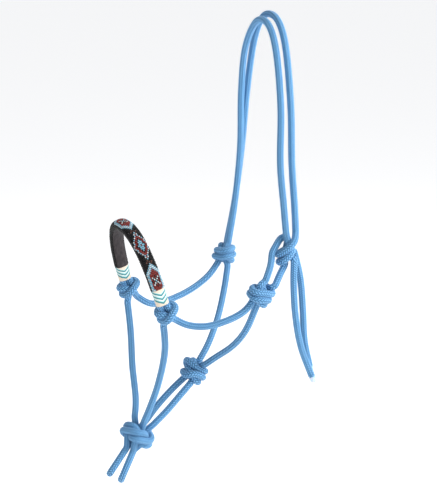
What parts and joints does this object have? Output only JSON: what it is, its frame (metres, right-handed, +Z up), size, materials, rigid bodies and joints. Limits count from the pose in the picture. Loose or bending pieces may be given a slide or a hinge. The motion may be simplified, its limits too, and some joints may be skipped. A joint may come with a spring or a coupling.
{
  "type": "head halter",
  "caption": "Knotted rope halter for a horse, with a beaded noseband, a tied crown and lead loops under the chin",
  "frame": {"origin": "the poll: the underside of the crown ropes at their top, midway across the head", "axes": "+Z up, -X towards the horse's nose, +Y towards its off (right) side; the halter hangs as worn"},
  "size_m": [0.24, 0.1984, 0.5563],
  "materials": {
    "rope": "braided",
    "beads": "glossy seed beads",
    "lining": "smooth",
    "thread": "wound thread",
    "rope_tip": "melted"
  },
  "bodies": {
    "crown": {"crown_rope_front": "rope", "crown_rope_rear": "rope", "tie_knot": "rope", "eye_loop_front": "rope", "eye_loop_rear": "rope"},
    "face": {"off_cheek_knot": "rope", "near_cheek_knot": "rope", "off_nose_knot": "rope", "near_nose_knot": "rope", "throat_knot": "rope", "chin_knot": "rope", "off_cheek_rope": "rope", "near_cheek_rope": "rope", "off_throat_rope": "rope", "near_throat_rope": "rope", "off_chin_rope": "rope", "near_chin_rope": "rope", "off_jaw_rope": "rope", "near_jaw_rope": "rope"},
    "noseband": {"nose_core_front": "rope", "nose_core_rear": "rope", "beaded_sleeve": "beads", "sleeve_lining": "lining", "off_end_wrap": "thread", "near_end_wrap": "thread"},
    "near_tail": {"near_tail": "rope", "near_tail_tip": "rope_tip"},
    "off_tail": {"off_tail": "rope", "off_tail_tip": "rope_tip"},
    "off_lead_loop": {"off_lead_loop": "rope"},
    "near_lead_loop": {"near_lead_loop": "rope"}
  },
  "joints": [
    {"name": "face_swing", "type": "hinge", "parent": "crown", "child": "face", "pos_m": [-0.0255, 0, -0.3], "axis": [0.2344, 0.9721, 0], "range_deg": [-25, 20]},
    {"name": "noseband_swing", "type": "hinge", "parent": "face", "child": "noseband", "pos_m": [-0.154, 0, -0.318], "axis": [0, 1, 0], "range_deg": [-20, 35]},
    {"name": "near_tail_swing", "type": "hinge", "parent": "crown", "child": "near_tail", "pos_m": [-0.004, -0.088, -0.266], "axis": [0, 1, 0], "range_deg": [-30, 25]},
    {"name": "off_tail_swing", "type": "hinge", "parent": "crown", "child": "off_tail", "pos_m": [0.0027, -0.0773, -0.259], "axis": [0, 1, 0], "range_deg": [-30, 25]},
    {"name": "off_lead_loop_swing", "type": "hinge", "parent": "face", "child": "off_lead_loop", "pos_m": [-0.167, 0, -0.485], "axis": [0.4002, 0.8604, -0.3156], "range_deg": [0, 35]},
    {"name": "near_lead_loop_swing", "type": "hinge", "parent": "face", "child": "near_lead_loop", "pos_m": [-0.167, 0, -0.485], "axis": [0.4002, 0.8604, -0.3156], "range_deg": [-35, 0]}
  ]
}
